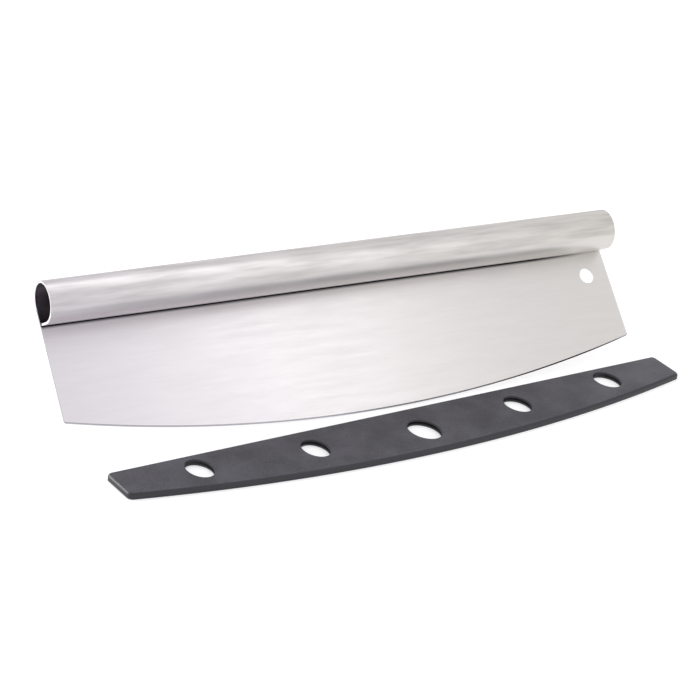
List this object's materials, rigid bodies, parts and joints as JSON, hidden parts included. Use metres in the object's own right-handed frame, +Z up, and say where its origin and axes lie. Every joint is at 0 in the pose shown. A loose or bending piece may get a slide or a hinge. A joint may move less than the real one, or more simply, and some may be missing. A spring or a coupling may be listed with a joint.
{
  "type": "rocking pizza knife",
  "caption": "Curved steel rocking blade rolled at the top into a tubular handle, with a plastic blade guard with oval holes that slips over the cutting edge.",
  "frame": {"origin": "middle of the axis of the tubular handle", "axes": "+X along the handle, +Z up, +Y away from the side that shows the open curl; the blade leans back 45 degrees with its cutting edge down, and the guard lies flat in front of it"},
  "size_m": [0.3659, 0.1178, 0.077],
  "materials": {
    "steel_sheet": "brushed along the knife's length",
    "guard_plastic": "fine matte moulding grain"
  },
  "bodies": {
    "knife": {"blade_and_handle": "steel_sheet"},
    "guard": {"blade_guard": "guard_plastic"}
  },
  "joints": [
    {"name": "guard_pull_off", "type": "slide", "parent": "knife", "child": "guard", "axis": [0.075, -0.9972, 0], "range_m": [0, 0.12]}
  ]
}
